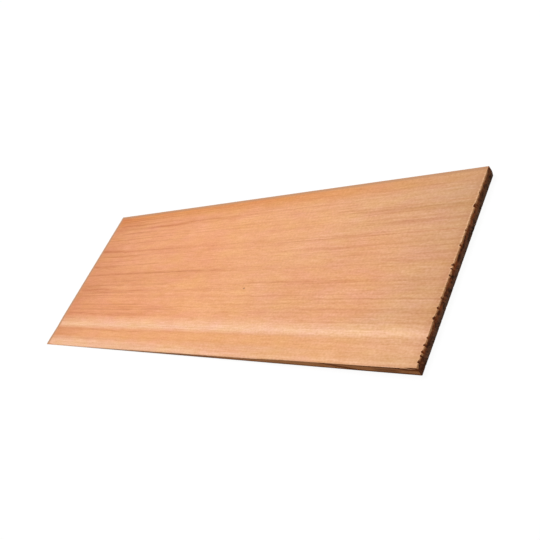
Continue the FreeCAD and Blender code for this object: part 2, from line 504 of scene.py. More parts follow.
@dataclass(frozen=True)
class FaceFinish(WoodFinish):
    """The broad sawn face: fine broken grain, a painted sheen streak by the hollow, a slow change along it.
    """

    ladder: tuple[tuple[float, Colour], ...] = (
        (0.00, tint(216, 142, 96)),
        (0.14, tint(232, 159, 113)),
        (0.42, tint(238, 166, 118)),
        (0.82, tint(231, 171, 126)),
        (0.90, tint(225, 169, 126)),
        (1.00, tint(213, 158, 116)),
    )
    ruddy: Colour = tint(232, 152, 106)
    red: Colour = tint(220, 142, 98)
    honey: Colour = tint(240, 174, 118)
    # Painted highlight: the sheen streak on the crest beside the hollow.
    pale: Colour = tint(250, 198, 160)
    # Painted shade: the hollow's near flank, with less sheen than the face around it.
    flank_shade: Colour = tint(234, 167, 109)
    # Painted highlight: sheen along the near arris.
    near_sheen: Colour = tint(247, 196, 158)
    far_strip: Colour = tint(224, 150, 88)
    amber: Colour = tint(224, 141, 80)
    corner: Colour = tint(208, 121, 66)
    tan: Colour = tint(203, 157, 117)
    dark: Colour = tint(196, 122, 74)
    knot: Colour = tint(128, 78, 48)
    bruised: Colour = tint(236, 190, 150)
    soil: Colour = tint(194, 143, 105)
    late_wood: Colour = (0.80, 0.67, 0.56, 1.0)
    handled: Colour = (0.92, 0.88, 0.85, 1.0)
    crest: float = 34.5 * MM
    knot_place: Pair = (349 * MM, 86.8 * MM)
    knot_size: float = 1.5 * MM
    streak_fade: float = 30 * MM
    gloss: float = 0.14
    streaks: tuple[Streak, ...] = (
        Streak(115.5, 1.8, 0, 270, 0.62),
        Streak(131, 1.7, 30, 150, 0.54),
        Streak(104, 2.0, 20, 140, 0.50),
        Streak(97, 2.8, 0, 200, 0.56),
        Streak(93.5, 1.7, 0, 50, 0.56),
        Streak(85, 2.1, 20, 130, 0.46),
        Streak(66, 1.9, 0, 170, 0.52),
        Streak(58.5, 1.8, 0, 240, 0.58),
        Streak(52, 2.0, 0, 170, 0.46),
        Streak(189, 2.1, 30, 100, 0.58),
        Streak(197, 2.0, 10, 100, 0.40),
        Streak(209, 1.8, 0, 90, 0.44),
        Streak(170, 1.7, 40, 200, 0.44),
        Streak(148, 1.8, 20, 120, 0.46),
        Streak(149, 1.1, 360, 605, 0.53),
        Streak(185, 1.9, 440, 610, 0.44),
        Streak(177, 1.1, 470, 605, 0.35),
        Streak(94, 1.3, 330, 440, 0.44),
        Streak(87, 1.9, 440, 610, 0.30),
    )

    def ground(self, web: NodeWeb, share: Wire, across: Wire, patch: Wire, blotch: Wire) -> Wire:
        """Colour of the plain wood, before its grain.

        Args:
            web: The material's builder.
            share: Part of the length from the tip.
            across: Metres from the near edge.
            patch: Broad unevenness.
            blotch: Smaller unevenness.

        Returns:
            The colour.
        """
        ladder = web.node("ShaderNodeValToRGB")
        points = ladder.color_ramp.elements
        points[0].position, points[0].color = self.ladder[0]
        points[1].position, points[1].color = self.ladder[-1]
        for position, colour in self.ladder[1:-1]:
            points.new(position).color = colour
        web.join(share, ladder.inputs[0])
        wood = web.wire(ladder)
        wood = web.blend(web.ramp(patch, 0.5, 0.72) * 0.4, wood, self.ruddy)
        wood = web.blend(web.ramp(patch, 0.5, 0.3) * 0.35, wood, self.honey)
        wood = web.shade(wood, web.ramp(blotch, 0.25, 0.75), (0.95, 0.92, 0.88), (1.04, 1.07, 1.10))
        tip_half = web.ramp(share, 0.5, 0.3)
        zones = (
            (web.band(across, 54 * MM, 68 * MM, 9 * MM) * web.ramp(share, 0.4, 0.15) * 0.35, self.ruddy),
            (web.band(across, 103 * MM, 121 * MM, 8 * MM) * tip_half * 0.4, self.red),
            (web.ramp(across, 201 * MM, 212 * MM) * 0.75, self.far_strip),
            (web.ramp(across, 190 * MM, 220 * MM) * web.ramp(share, 0.16, 0.02) * 0.8, self.corner),
            (web.ramp(across, 120 * MM, 215 * MM) * web.ramp(share, 0.70, 0.98) * 0.7, self.tan),
            (web.ramp(across, 212 * MM, 219 * MM) * web.band(share, 0.1, 0.55, 0.12) * 0.6, self.amber),
            (web.band(across, 50 * MM, 74 * MM, 7 * MM) * web.ramp(share, 0.07, 0.0) * 0.8, self.red),
            # Painted shade: less sheen on the hollow's near flank.
            (web.band(across, 15.5 * MM, 25 * MM, 4 * MM) * web.ramp(share, 0.0, 0.25, 0.05, 0.5)
             * web.ramp(share, 0.74, 0.92, 1.0, 0.15), self.flank_shade),
            # Painted highlight: sheen by the near arris.
            (web.band(across, 6 * MM, 25 * MM, 5 * MM) * web.ramp(share, 0.86, 0.97) * 0.25, self.near_sheen),
            (web.band(across, 9 * MM, 13 * MM, 4 * MM) * web.ramp(share, 0.8, 0.7) * 0.2, self.near_sheen),
        )
        for mask, colour in zones:
            wood = web.blend(mask, wood, colour)
        return wood

    def marks(self, web: NodeWeb, along: Wire, across: Wire) -> Number:
        """Sum all the streaks.

        Args:
            web: The material's builder.
            along: Metres from the tip.
            across: Metres from the near edge.

        Returns:
            How dark the streaks are.
        """
        total: Number = 0.0
        for streak in self.streaks:
            mask, = self.group(web, self.groups.streak, Across=across, Along=along, Place=streak.place * MM,
                               Half=streak.half * MM, Start=streak.start * MM, End=streak.end * MM,
                               Fade=self.streak_fade, Strength=streak.strength)
            total = mask + total
        return total

    def figure(self, web: NodeWeb, wood: Wire, along: Wire, across: Wire, share: Wire) -> tuple[Wire, Wire]:
        """Draw the growth lines over the plain wood.

        Args:
            web: The material's builder.
            wood: The plain colour.
            along: Metres from the tip.
            across: Metres from the near edge.
            share: Part of the length from the tip.

        Returns:
            The colour, and how dark the growth lines are.
        """
        fade = web.ramp(share, 0.05, 0.35, 1.5, 0.65) * web.ramp(across, 24 * MM, 46 * MM, 0.4, 1.0)
        broad, _ = self.group(web, self.groups.lines, Across=across, Along=along, Spacing=7.4 * MM,
                              Reach=340 * MM, Shift=3.0)
        rings, tone = self.group(web, self.groups.lines, Across=across, Along=along, Spacing=2.7 * MM,
                                 Reach=450 * MM, Shift=7.0)
        for lines, strength in ((broad, 0.85), (rings, 0.5)):
            wood = web.blend(lines * fade * strength, wood, web.times(wood, self.late_wood))
        wood = web.shade(wood, web.ramp(tone, 0.3, 0.7), (1.03, 1.045, 1.06), (0.97, 0.955, 0.94))
        return wood, rings

    def borders(self, web: NodeWeb, wood: Wire, along: Wire, across: Wire, fleck: Wire) -> Wire:
        """Add the arrises: a darker line at the far edge and the tip, a darker band by the butt, and the
        butt's rim of pale torn fibres with a painted highlight.

        Args:
            web: The material's builder.
            wood: The colour so far.
            along: Metres from the tip.
            across: Metres from the near edge.
            fleck: Fine unevenness.

        Returns:
            The colour.
        """
        # A darker line along the far arris and along the tip.
        rough_line = (fleck - 0.5) * (2.0 * MM)
        far = web.ramp(across + rough_line, self.width - 5.0 * MM, self.width - 2.2 * MM)
        tip = web.ramp(along + rough_line, 6.5 * MM, 3.0 * MM)
        wood = web.blend(web.math("MAXIMUM", far * 0.9, tip), wood, self.soil)
        reached = along + self.held(web, TORN) + rough_line
        worn = web.ramp(reached, self.length - 10 * MM, self.length - 3 * MM)
        wood = web.blend(worn, wood, web.times(wood, self.handled))
        # The butt's rim: pale torn fibres, partly a painted highlight where they catch the light.
        rim = web.ramp(reached, self.length - 1.9 * MM, self.length - 0.8 * MM)
        rim = rim * web.ramp(across, 60 * MM, 150 * MM, 0.2, 0.7) * web.ramp(fleck, 0.4, 0.6, 0.3, 1.0)
        return web.blend(rim * web.ramp(across, 219 * MM, 213 * MM), wood, self.bruised)

    def material(self) -> Material:
        """Make the face's material.

        Returns:
            The material.
        """
        material, web, (along, across, up) = self.begin(Cut.FACE.value)
        share = along / self.length
        marks = self.marks(web, along, across)
        front = web.ramp(up, 0.35 * MM, 0.6 * MM)
        patch, blotch, fleck, fibre, speckle, hue = self.group(
            web, self.groups.mottle, Across=across, Along=along, Shift=front * 9.0 - 6.0)
        wood = self.ground(web, share, across, patch, blotch)

        # Painted highlights: sheen on the rolled rim of the near edge, and a sheen streak on the crest
        # beside the hollow.
        reach = web.ramp(share, 0.1, 0.7, 18 * MM, 8 * MM)
        near_sheen = web.ramp(across, reach, reach * 0.25, smooth=True)
        near_sheen = near_sheen * web.ramp(share, 0.5, 0.8, 0.76, 0.34)
        wood = web.blend(near_sheen * front, wood, self.near_sheen)
        wander = (web.noise(along * 9.0, 0.0, 2.0, 2.0) - 0.5) * (3.0 * MM)
        pale = web.ramp(across + wander, 50 * MM, self.crest) ** web.ramp(share, 0.6, 0.85, 1.3, 2.2)
        pale = pale * web.ramp(across + wander, 26 * MM, self.crest, smooth=True) * front
        pale = pale * web.ramp(share, 0.0, 0.2, 0.8, 1.0) * web.ramp(share, 0.85, 0.98, 1.0, 0.8)
        wood = web.blend(pale * 0.88, wood, self.pale)

        # The growth lines, the dark streaks and the knot.
        wood = web.shade(wood, web.ramp(hue, 0.3, 0.7), (1.0, 0.965, 1.05), (1.0, 1.03, 0.93))
        wood, rings = self.figure(web, wood, along, across, share)
        wood = web.blend(marks, wood, self.dark)
        ahead = ((along - self.knot_place[0]) * 0.7) ** 2.0
        aside = (across - self.knot_place[1]) ** 2.0
        away = web.math("SQRT", ahead + aside)
        knot = web.ramp(away, self.knot_size, self.knot_size * 0.4) * front * 0.7
        wood = web.blend(knot, wood, self.knot)

        # Flecks, fibres and grit, from coarse to fine, and the handled borders over them.
        wood = web.shade(wood, web.ramp(fleck, 0.25, 0.75), (0.935, 0.885, 0.80), (1.065, 1.115, 1.20))
        wood = web.shade(wood, web.ramp(fibre, 0.25, 0.75), (0.96, 0.93, 0.88), (1.04, 1.07, 1.12))
        gritty = web.ramp(share, 0.25, 0.95, 0.55, 0.8)
        grit = web.blend(web.ramp(speckle, 0.3, 0.7), (0.91, 0.865, 0.78, 1.0), (1.09, 1.135, 1.22, 1.0))
        wood = web.times(wood, web.blend(gritty, WHITE, grit))
        wood = self.borders(web, wood, along, across, fleck)
        kerf, = self.group(web, self.groups.kerf, Along=along, Across=across, Pitch=3.1 * MM)
        height = fibre * 0.5 + kerf * 0.18 + speckle * 0.1 - rings * 0.25
        rough = web.ramp(fibre, 0.2, 0.8, 0.72, 0.58) - pale * 0.06
        self.close(web, wood, rough, height, 0.35, 0.4 * MM, self.gloss)
        return material


@dataclass(frozen=True)
class EdgeFinish(WoodFinish):
    """The long edges: brown side grain with a dark line under the arris and a slanting split."""

    butt: float
    tip: float
    brown: Colour = tint(190, 117, 70)
    light: Colour = tint(232, 157, 100)
    pale_tip: Colour = tint(238, 178, 134)
    deep: Colour = tint(92, 44, 18)
    gap: Colour = tint(132, 70, 30)
    near_drop: float = 0.4 * MM
    split_top: Pair = (500 * MM, 9.4 * MM)
    split_slope: float = -0.2
    split_half: float = 2.0 * MM
    split_reach: float = 46 * MM
    gloss: float = 0.04

    def material(self) -> Material:
        """Make the long edges' material.

        Returns:
            The material.
        """
        material, web, (along, across, up) = self.begin(Cut.EDGE.value)
        share = along / self.length
        side = up + along * 0.008
        _patch, blotch, fleck, fibre, _speckle, _hue = self.group(
            web, self.groups.mottle, Across=side * 1.4, Along=along, Shift=11.0)
        streaks, _ = self.group(web, self.groups.lines, Across=side, Along=along, Spacing=1.5 * MM,
                                Reach=70 * MM, Shift=12.0)
        wood = web.blend(web.ramp(blotch, 0.35, 0.7), self.brown, self.light)
        wood = web.blend(web.band(share, 0.62, 0.8, 0.06) * 0.85, wood, self.light)
        wood = web.blend(streaks * 0.6, wood, self.deep)

        # A dark line under the arris, and painted shade along the floor where the edge meets it, with a
        # lighter strip between them.
        below = share * (self.butt - self.tip) + (self.tip - self.near_drop) - up
        line = web.band(below, 0.5 * MM, 1.9 * MM, 0.8 * MM) * web.ramp(fleck, 0.35, 0.6, 0.6, 1.0)
        wood = web.blend(line * web.ramp(share, 0.86, 0.95, 0.25, 1.0), wood, self.deep)
        # Painted shade: the edge darkens towards the floor.
        foot = web.ramp(up, 2.8 * MM, 0.6 * MM) * web.ramp(share, 0.8, 0.92, 0.5, 0.8)
        wood = web.blend(foot, wood, self.deep)
        strip = web.band(up + (fleck - 0.5) * (1.5 * MM), 3.9 * MM, 5.8 * MM, 1.1 * MM)
        wood = web.blend(strip * web.ramp(share, 0.95, 0.975) * 0.5, wood, self.light)
        shadow = web.band(up, 2.6 * MM, 6.0 * MM, 1.0 * MM) * web.band(share, 0.93, 0.955, 0.015)
        wood = web.blend(shadow * 0.4, wood, self.deep)
        gap_end = web.band(below, 1.4 * MM, 3.4 * MM, 0.8 * MM) * web.ramp(share, 0.966, 0.978)
        wood = web.blend(gap_end, wood, self.gap)

        # The split, which slants down to the floor on the near edge alone.
        run = along - self.split_top[0]
        gap = web.math("ABSOLUTE", up - self.split_top[1] - run * self.split_slope + (fleck - 0.5) * MM)
        split = web.ramp(gap, self.split_half, 0.5 * MM) * web.band(run, 0.0, self.split_reach, 4 * MM)
        near_side = web.ramp(across, self.width * 0.6, self.width * 0.4)
        wood = web.blend(split * near_side, wood, self.gap)
        wood = web.blend(web.ramp(share, 0.62, 0.2) * 0.85, wood, self.pale_tip)
        wood = web.shade(wood, web.ramp(fleck, 0.25, 0.75), (0.88, 0.86, 0.84), (1.10, 1.12, 1.14))
        rough = web.ramp(fibre, 0.2, 0.8, 0.78, 0.64)
        self.close(web, wood, rough, fibre - streaks - split, 0.5, 0.5 * MM, self.gloss)
        return material


@dataclass(frozen=True)
class EndFinish(WoodFinish):
    """The crosscut ends: dark thirsty end grain, redder under the face, mottled by torn pits."""

    butt: float
    red: Colour = tint(178, 92, 44)
    grey: Colour = tint(134, 98, 78)
    olive: Colour = tint(104, 74, 44)
    fringe: Colour = tint(248, 180, 122)
    pit: Colour = tint(36, 22, 14)
    scar: Colour = tint(108, 50, 18)
    fresh: Colour = tint(214, 140, 90)
    gloss: float = 0.12

    def fray(self, web: NodeWeb, wood: Wire, across: Wire, up: Wire, below: Wire) -> Wire:
        """Hang pale fibres from the upper arris, and redden and darken the notches torn out of it: torn
        grain with painted shade in them.

        Args:
            web: The material's builder.
            wood: The colour so far.
            across: Metres from the near edge.
            up: Metres from the floor.
            below: Metres under the face.

        Returns:
            The colour.
        """
        strands = web.noise(across * 900.0, up * 150.0, 6.0, 1.0)
        hanging = web.ramp(below, 2.4 * MM, 0.6 * MM) * web.ramp(strands, 0.34, 0.58)
        drape = web.ramp(web.noise(across * 170.0, 3.0, 9.0, 2.0), 0.38, 0.66, 0.8 * MM, 3.3 * MM)
        hanging = web.math("MAXIMUM", hanging * 0.75, web.ramp(below, drape, drape * 0.5))
        patchy = web.ramp(web.noise(across * 75.0, 8.0, 2.0, 1.0), 0.38, 0.54, 0.6, 1.0)
        hanging = hanging * patchy * web.ramp(across, 220 * MM, 214 * MM)
        near_foot = web.ramp(across, 18 * MM, 5 * MM) * web.ramp(up, 8 * MM, 4 * MM)
        wood = web.blend(near_foot * 0.6, wood, self.scar)
        chip = self.held(web, CHIP)
        whole = web.ramp(chip, 0.75 * MM, 1.1 * MM, 1.0, 0.0)
        wood = web.blend(hanging * whole, wood, self.fringe)
        # The notches: darker torn grain, with painted shade where they are recessed.
        scarred_and_shaded = web.ramp(chip, 0.8 * MM, 1.6 * MM) * web.ramp(below, chip * 1.3 + 1.0 * MM, chip * 0.8)
        return web.blend(scarred_and_shaded * 0.75, wood, self.scar)

    def material(self) -> Material:
        """Make the ends' material.

        Returns:
            The material.
        """
        material, web, (along, across, up) = self.begin(Cut.END.value)
        _patch, blotch, fleck, _fibre, speckle, _hue = self.group(
            web, self.groups.mottle, Across=across, Along=up * 6.0, Shift=23.0)
        rings, tone = self.group(web, self.groups.lines, Across=across + up * 0.35, Along=up,
                                 Spacing=1.9 * MM, Reach=9 * MM, Shift=25.0)
        wood = web.blend(web.ramp(up, 2.5 * MM, 9.0 * MM, smooth=True), self.grey, self.red)
        wood = web.shade(wood, web.ramp(blotch, 0.3, 0.7), (0.60, 0.58, 0.58), (1.30, 1.24, 1.20))
        wood = web.blend(web.ramp(across, 135 * MM, 195 * MM) * 0.4, wood, self.olive)
        wood = web.blend(rings * 0.7, wood, self.pit)
        wood = web.blend(web.ramp(tone, 0.44, 0.26) * 0.6, wood, self.fresh)
        holes = web.noise(across * 140.0, up * 190.0, along * 100.0, 1.0)
        wood = web.blend(web.ramp(holes, 0.52, 0.68) * 0.8, wood, self.pit)
        pits = web.noise(across * 520.0, up * 420.0, along * 300.0, 2.0, 0.6)
        wood = web.blend(web.ramp(pits, 0.54, 0.68) * 0.45, wood, self.pit)
        wood = web.blend(web.ramp(fleck, 0.58, 0.72) * 0.5, wood, self.fresh)
        below = self.butt - web.ramp(across, 50 * MM, 34 * MM, 0.1 * MM, 0.5 * MM) - up
        # Dark patches just under the arris: partly dark end grain, partly painted shade in the torn hollows
        # there.
        hollow = web.ramp(web.noise(across * 115.0, up * 90.0, 5.0, 1.0), 0.55, 0.7)
        hollow = hollow * web.band(below, 2.0 * MM, 6.0 * MM, 1.5 * MM)
        wood = web.blend(hollow * 0.75, wood, self.pit)
        wood = self.fray(web, wood, across, up, below)
        kerf, = self.group(web, self.groups.kerf, Along=across, Across=up, Pitch=1.7 * MM)
        rough = web.ramp(speckle, 0.3, 0.7, 0.8, 0.95)
        self.close(web, wood, rough, kerf * 0.5 - pits, 0.6, 0.6 * MM, self.gloss)
        return material


@dataclass(frozen=True)
class SplinterFinish(WoodFinish):
    """Loose fibres at the torn arrises: pale where they stand free, browner at the root."""

    free: Colour = tint(232, 178, 134)
    root: Colour = tint(176, 110, 66)
    gloss: float = 0.12

    def material(self) -> Material:
        """Make the loose fibres' material.

        Returns:
            The material.
        """
        material, web, (along, across, up) = self.begin("cedar_loose_fibre")
        _patch, _blotch, fleck, fibre, speckle, _hue = self.group(
            web, self.groups.mottle, Across=across + up, Along=along, Shift=31.0)
        wood = web.blend(web.ramp(fleck, 0.3, 0.7), self.root, self.free)
        rough = web.ramp(speckle, 0.3, 0.7, 0.7, 0.85)
        self.close(web, wood, rough, fibre, 0.4, 0.2 * MM, self.gloss)
        return material


class ShapeRule:
    """A Geometry Nodes tree with a named input for each size, run once into a plain mesh."""

    def __init__(self, name: str, values: dict[str, Any]) -> None:
        """Make the tree and an input for each value.

        Args:
            name: The tree's name.
            values: Input name and the value that it gets.
        """
        self.values = values
        self.web = NodeWeb(bpy.data.node_groups.new(name, "GeometryNodeTree"))
        kinds = {key: self.kind(value) for key, value in values.items()}
        self.given = self.web.sockets(kinds, {"Geometry": GEOMETRY})

    @staticmethod
    def kind(value: Any) -> str:
        """Name the socket type that holds a value."""
        plain = INTEGER if isinstance(value, int) else FLOAT
        return MATERIAL if isinstance(value, Material) else plain

    def run(self, name: str) -> Object:
        """Run the tree once and keep its result as a plain mesh.

        Args:
            name: Name of the finished piece.

        Returns:
            A new object at the origin, with no modifier.
        """
        carrier = add_object(name + "_rule", bpy.data.meshes.new(name + "_rule"))
        modifier = carrier.modifiers.new("rule", "NODES")
        modifier.node_group = self.web.tree
        for item in self.web.tree.interface.items_tree:
            if item.item_type == "SOCKET" and item.in_out == "INPUT":
                modifier[item.identifier] = self.values[item.name]
        graph = bpy.context.evaluated_depsgraph_get()
        mesh = bpy.data.meshes.new_from_object(carrier.evaluated_get(graph), preserve_all_data_layers=True,
                                               depsgraph=graph)
        carrier.modifiers.remove(modifier)
        bpy.data.objects.remove(carrier)
        mesh.name = name
        return add_object(name, mesh)


@dataclass(frozen=True)
class Section:
    """The sawn section: a wedge with a shallow hollow and a low roll along the near edge, in metres."""

    length: float
    width: float
    butt: float
    tip: float = 0.9 * MM
    hollow_depth: float = 0.5 * MM
    hollow_place: float = 27.0 * MM
    head_run: float = 16.0 * MM
    foot_run: float = 7.0 * MM
    lift_run: float = 7.0 * MM
    roll_rise: float = 0.2 * MM
    roll_place: float = 12.0 * MM
    edge_drop: float = 0.12 * MM
    bevel_tip_drop: float = 0.2 * MM
    bevel_drop: float = 1.4 * MM
    bevel_width: float = 14.0 * MM
    bevel_length: float = 405.0 * MM
    bevel_runout: float = 40.0 * MM

    @staticmethod
    def face(rule: ShapeRule, along: Wire, across: Wire) -> Wire:
        """Height of the weather face over the floor.

        Args:
            rule: The shape rule that has the section's sizes as inputs.
            along: Metres from the tip.
            across: Metres from the near edge.

        Returns:
            Metres.
        """
        web, size = rule.web, rule.given
        hollow, roll, rise = size["Hollow Place"], size["Roll Place"], size["Roll Rise"]
        bend = hollow + size["Foot Run"]
        lift = hollow - size["Lift Run"]
        fall = size["Hollow Depth"] / (size["Head Run"] + size["Foot Run"])
        climb = rise / (hollow - roll)
        head = web.ramp(across, bend + size["Head Run"], bend)
        foot = web.ramp(across, hollow, bend)
        near = web.ramp(across, hollow, lift)
        crest = web.ramp(across, roll, lift)
        edge = web.ramp(across, roll, 0.0)
        low = head * head * fall * size["Head Run"] + (1.0 - foot * foot) * fall * size["Foot Run"]
        high = near * near * climb * size["Lift Run"] + (1.0 - crest * crest) * climb * (lift - roll)
        wave = high - low - edge * edge * size["Edge Drop"]
        wedge = size["Tip"] + (size["Butt"] - size["Tip"]) * (along / size["Length"])
        stop, runout = size["Bevel Length"], size["Bevel Runout"]
        slant = size["Bevel Tip Drop"] + (size["Bevel Drop"] - size["Bevel Tip Drop"]) * (along / stop)
        drop = web.math("MINIMUM", slant, size["Bevel Drop"] * (1.0 - (along - stop) / runout))
        arris = rise - size["Hollow Depth"] - size["Edge Drop"]
        bevel = arris - drop + across * (size["Bevel Drop"] / size["Bevel Width"])
        return wedge + web.math("MINIMUM", wave, bevel)


@dataclass(frozen=True)
class Notch:
    """A chip torn out of the butt's upper arris, in millimetres."""

    place: float
    depth: float
    half: float


@dataclass(frozen=True)
class TornArris:
    """How the butt's upper arris is torn: fine teeth all along it and a few deeper notches."""

    tooth: float = 1.0 * MM
    notches: tuple[Notch, ...] = (
        Notch(221, 0.4, 2.5),
        Notch(215, 0.6, 2.0),
        Notch(191, 1.0, 2.4),
        Notch(175, 1.9, 4.4),
        Notch(146, 1.4, 2.4),
        Notch(129, 1.7, 2.8),
        Notch(107, 2.7, 2.3),
        Notch(102.7, 2.6, 1.4),
        Notch(96, 1.4, 2.0),
        Notch(71.5, 1.3, 2.4),
        Notch(61, 1.8, 2.6),
        Notch(50, 2.2, 3.8),
        Notch(30.6, 1.3, 2.6),
        Notch(23.6, 1.6, 2.8),
        Notch(16.6, 1.8, 2.8),
        Notch(12.8, 1.6, 2.4),
        Notch(6.8, 1.8, 3.0),
    )

    def chip(self, rule: ShapeRule, across: Wire) -> Wire:
        """How far the arris is torn back.

        Args:
            rule: The shape rule, with the inputs Tooth and Seed.
            across: Metres from the near edge.

        Returns:
            Metres.
        """
        web, seed = rule.web, rule.given["Seed"]
        coarse = web.noise(across * 420.0, seed, 7.0, 1.0)
        fine = web.noise(across * 950.0, seed, 2.0, 1.0)
        teeth = web.ramp(coarse, 0.42, 0.70) ** 1.3 * 0.65 + web.ramp(fine, 0.44, 0.75) * 0.5
        chip = teeth * rule.given["Tooth"] * web.ramp(across, 90 * MM, 140 * MM, 1.0, 0.9)
        for notch in self.notches:
            half = notch.half * MM
            past = (across - notch.place * MM + (fine - 0.5) * half * 0.5) / half
            gap = web.math("MAXIMUM", past, past * -2.5)
            bite = web.ramp(gap, 0.0, 1.0, 1.0, 0.0) ** 0.75 * (fine * 1.2 + 0.4)
            chip = web.math("MAXIMUM", chip, bite * (notch.depth * MM))
        return chip


@dataclass
class ShingleBody:
    """The sawn wedge itself, with its hollow, its grain relief and its torn butt."""

    section: Section
    arris: TornArris
    finishes: dict[Cut, Material]
    far_corner: float = 0.15 * MM
    corner_wear: float = 3.2 * MM
    wear_height: float = 4.8 * MM
    near_corner: float = 0.8 * MM
    near_ease: float = 0.3 * MM
    ease_run: float = 1.2 * MM
    grain_relief: float = 0.16 * MM
    side_relief: float = 0.5 * MM
    side_rim: float = 4.0 * MM
    end_relief: float = 0.7 * MM
    end_run: float = 9.0 * MM
    rim_ease: float = 0.5 * MM
    corner_tear: float = 0.8 * MM
    tear_start: float = 20.0 * MM
    tear_full: float = 7.0 * MM
    far_calm: float = 30.0 * MM
    tip_zone: float = 5.0 * MM
    butt_zone: float = 26.0 * MM
    columns: int = 92
    rows: int = 440
    layers: int = 13
    seed: int = 5

    @staticmethod
    def spread(rule: ShapeRule, share: Wire) -> Wire:
        """Place the columns: crowded at the tip and the butt, even between.

        Args:
            rule: The body's rule.
            share: A column's number as a part of all columns.

        Returns:
            Metres from the tip.
        """
        web, length = rule.web, rule.given["Length"]
        tip_zone, butt_zone = rule.given["Tip Zone"], rule.given["Butt Zone"]
        tip_share, butt_share = 0.03, 0.78
        eased = 1.0 - (1.0 - web.ramp(share, butt_share, 1.0)) ** 1.8
        along = web.ramp(share, 0.0, tip_share, 0.0, tip_zone) + eased * butt_zone
        return along + web.ramp(share, tip_share, butt_share) * (length - (tip_zone + butt_zone))

    @staticmethod
    def round_corner(web: NodeWeb, first: Wire, second: Wire, radius: Wire) -> tuple[Wire, Wire]:
        """Round an upright corner.

        Args:
            web: The rule's builder.
            first: Metres from one side of the corner.
            second: Metres from the other side.
            radius: The corner's radius.

        Returns:
            Both distances, moved onto the round corner.
        """
        one = web.math("MAXIMUM", radius - first, 0.0)
        two = web.math("MAXIMUM", radius - second, 0.0)
        reach = web.math("SQRT", one * one + two * two + 1e-12)
        slack = 1.0 - web.math("MAXIMUM", one, two) / reach
        return first + one * slack, second + two * slack

    def place(self, rule: ShapeRule, spot: Wire) -> tuple[Wire, Wire, Wire]:
        """Move a point of the unit block to its place on the shingle.

        Args:
            rule: The body's rule.
            spot: The point on the block, from -0.5 to 0.5 each way.

        Returns:
            The point, how far it is torn back from the butt, and the arris above it, in metres.
        """
        web, size = rule.web, rule.given
        length, width, seed = size["Length"], size["Width"], size["Seed"]
        column, row, level = (value + 0.5 for value in web.split(spot))
        along = self.spread(rule, column)
        across = row * width
        layer = 1.0 - (1.0 - level) ** 1.5

        # The face, its eased near arris, and the grain standing proud between softer early wood.
        face = Section.face(rule, along, across)
        ease = web.math("MINIMUM", size["Near Ease"], face * 0.4)
        ease = ease * web.ramp(across, size["Ease Run"], 0.0) ** 2.0
        ridges = web.noise(along * 3.0, across * 260.0, seed, 2.0, 0.55)
        swell = web.noise(along * 9.0, across * 30.0, seed + 4.0, 1.0)
        relief = (ridges + swell * 0.8) * size["Grain Relief"] * web.ramp(along, 0.0, 0.12, 0.3, 1.0)
        back = web.noise(along * 40.0, across * 120.0, seed + 8.0, 2.0) * size["Grain Relief"] * 0.7
        top = face - ease - relief
        up = layer * top + (1.0 - layer) * back * web.ramp(along, 0.0, 0.1, 0.2, 1.0)
        below = (1.0 - layer) * top

        # The butt: pits and upright tears all over it, teeth and notches along its upper arris.
        chip = self.arris.chip(rule, across)
        bite = web.ramp(below / (chip * 1.3 + 0.3 * MM), 1.0, 0.0)
        pits = web.ramp(web.noise(across * 600.0, up * 420.0, seed, 2.0, 0.6), 0.55, 0.8)
        tears = web.ramp(web.noise(across * 240.0, up * 70.0, seed + 2.0, 1.0), 0.55, 0.85)
        rolled = web.ramp(below, size["Rim Ease"], 0.0) ** 2.0 * size["Rim Ease"] * 0.8
        pitted = (pits * 0.6 + tears) * size["End Relief"] * web.ramp(width - across, 2 * MM, 12 * MM)
        recess = web.math("MAXIMUM", chip * bite, rolled) + pitted
        from_butt = length - along
        torn_back = recess * web.ramp(from_butt, size["End Run"], 0.0) ** 2.0

        # The long edges: lengthwise strands, and the near arris torn away towards the butt.
        strand = web.noise(along * 12.0, across * 8.0, up * 420.0 + along * 3.0, 2.0, 0.6)
        worn = strand * size["Side Relief"] * web.ramp(face, 0.0, 6 * MM, 0.2, 1.0)
        torn = web.ramp(from_butt, size["Tear Start"], size["Tear Full"])
        torn = torn * web.ramp(below, 2.6 * MM, 1.2 * MM)
        near_rim = web.ramp(across, size["Side Rim"], 0.0) ** 2.0
        far_rim = web.ramp(width - across, size["Side Rim"], 0.0) ** 2.0
        far_worn = worn * far_rim * web.ramp(from_butt, 0.0, size["Far Calm"], 0.05, 0.4)
        across = across + (worn + torn * size["Corner Tear"]) * near_rim - far_worn

        # The upright corners of the butt, the far one worn away at its foot.
        far_corner = size["Far Corner"] + size["Corner Wear"] * web.ramp(up, size["Wear Height"], 0.0) ** 1.4
        from_butt, from_far = self.round_corner(web, from_butt + torn_back, width - across, far_corner)
        from_butt, from_near = self.round_corner(web, from_butt, width - from_far, size["Near Corner"])
        return web.combine(length * 0.5 - from_butt, from_near - width * 0.5, up), torn_back, chip

